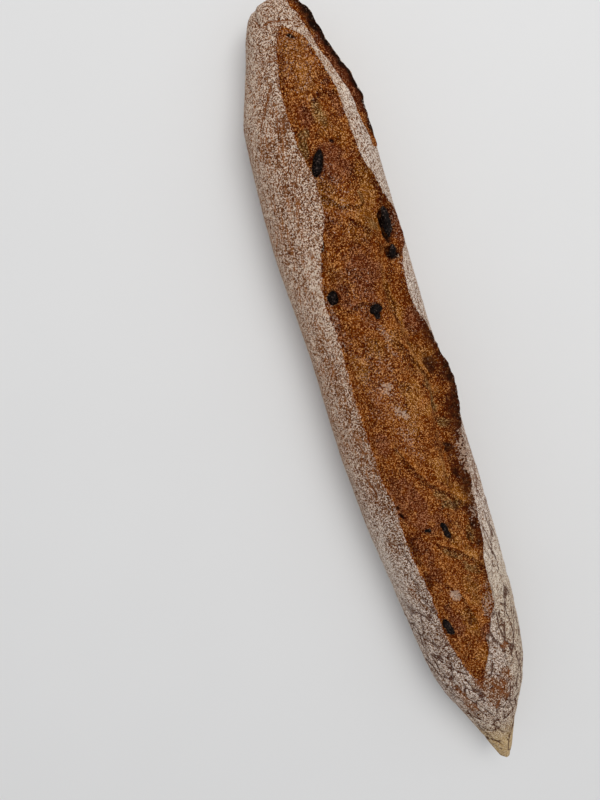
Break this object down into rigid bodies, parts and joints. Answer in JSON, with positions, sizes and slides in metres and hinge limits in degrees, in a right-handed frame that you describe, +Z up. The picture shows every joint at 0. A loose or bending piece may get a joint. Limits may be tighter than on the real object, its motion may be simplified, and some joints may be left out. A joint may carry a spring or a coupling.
{
  "type": "sourdough baguette",
  "caption": "Slim floured sourdough loaf with olives, lying flat, opened along its top by a long score with a raised dark ear and by a shorter score over the blunt end.",
  "frame": {"origin": "middle of the loaf's length and width, on the flat base that it lies on", "axes": "+X along the loaf from the blunt end to the pointed end, +Y towards the side with the raised ear, +Z up"},
  "size_m": [0.43, 0.0694, 0.051],
  "materials": {
    "crust": "baked crust under a fine grey-white dusting of flour, amber brown and rough where the score opened, burnt nearly black along the ear",
    "olive": "wrinkled black olive, dried by the oven, faint satin sheen"
  },
  "bodies": {
    "root": {"loaf": "crust", "olive_1": "olive", "olive_2": "olive", "olive_3": "olive", "olive_4": "olive", "olive_5": "olive", "olive_6": "olive", "olive_7": "olive", "olive_8": "olive"}
  },
  "joints": []
}
